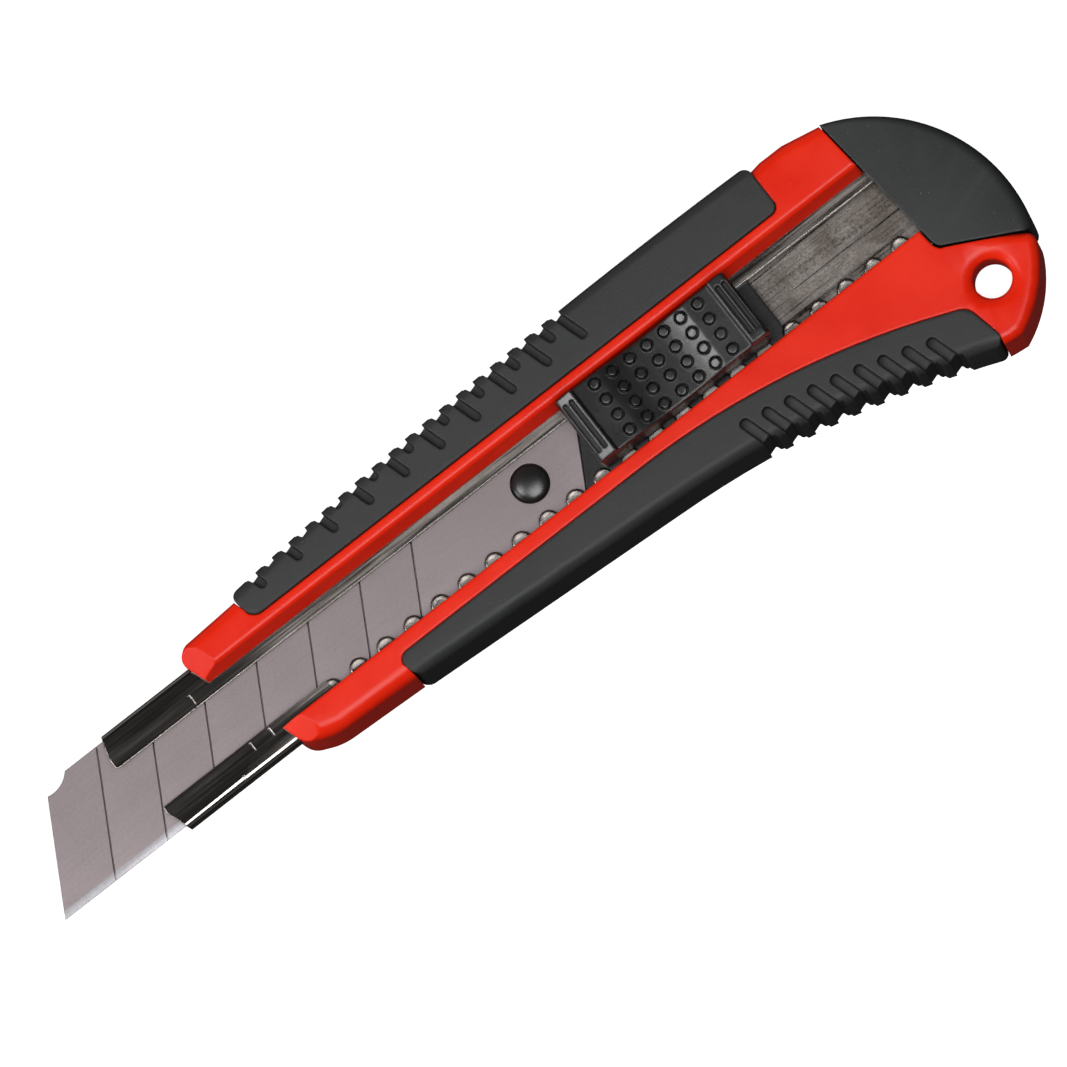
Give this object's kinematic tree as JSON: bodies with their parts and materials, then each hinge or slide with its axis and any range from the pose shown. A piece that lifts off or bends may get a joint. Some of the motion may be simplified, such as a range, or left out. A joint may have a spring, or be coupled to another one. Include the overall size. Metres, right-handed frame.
{
  "type": "utility knife",
  "caption": "Snap-off blade utility knife with a soft-grip plastic handle, steel blade channel, notched slider and snapper end cap.",
  "frame": {"origin": "middle of the knife's outline seen from the thumb side, on the plane that its back rests on, with the slider and blade where they stand at rest", "axes": "+X along the knife from blade tip to end cap, +Y towards the spine, away from the cutting edge, +Z out of the thumb side"},
  "size_m": [0.18, 0.0463, 0.02],
  "materials": {
    "red_handle": "moulded red plastic, satin gloss",
    "soft_grip": "dark grey soft-touch elastomer, fine matt grain",
    "channel_steel": "bright plated steel strip, stained and scratched along its length",
    "blade_steel": "ground carbon steel, brighter along the cutting edge",
    "black_plastic": "moulded black plastic, satin",
    "spring_steel": "bright spring strip",
    "cap_plastic": "dark blue-grey moulded plastic, fine grain"
  },
  "bodies": {
    "handle": {"handle_body": "red_handle", "upper_grip": "soft_grip", "lower_grip": "soft_grip", "blade_channel": "channel_steel"},
    "blade_unit": {"blade_carrier": "black_plastic", "snap_off_blade": "blade_steel"},
    "thumb": {"thumb_slider": "black_plastic"},
    "detent": {"detent_spring": "spring_steel"},
    "cap": {"end_cap": "cap_plastic"}
  },
  "joints": [
    {"name": "blade_slide", "type": "slide", "parent": "handle", "child": "blade_unit", "axis": [1, 0, 0], "range_m": [-0.06168, 0.02056], "deforming": ["detent_spring"]},
    {"name": "lock_release", "type": "slide", "parent": "blade_unit", "child": "thumb", "axis": [1, 0, 0], "range_m": [-0.0008, 0.0008], "stiffness_N_per_m": 800},
    {"name": "detent_flex", "type": "hinge", "parent": "blade_unit", "child": "detent", "pos_m": [0.0426, 0.0017, 0.0115], "axis": [0, 0, -1], "range_deg": [0, 3.5], "stiffness_Nm_per_rad": 0.05},
    {"name": "cap_pull", "type": "slide", "parent": "handle", "child": "cap", "axis": [1, 0, 0], "range_m": [0, 0.02]}
  ]
}
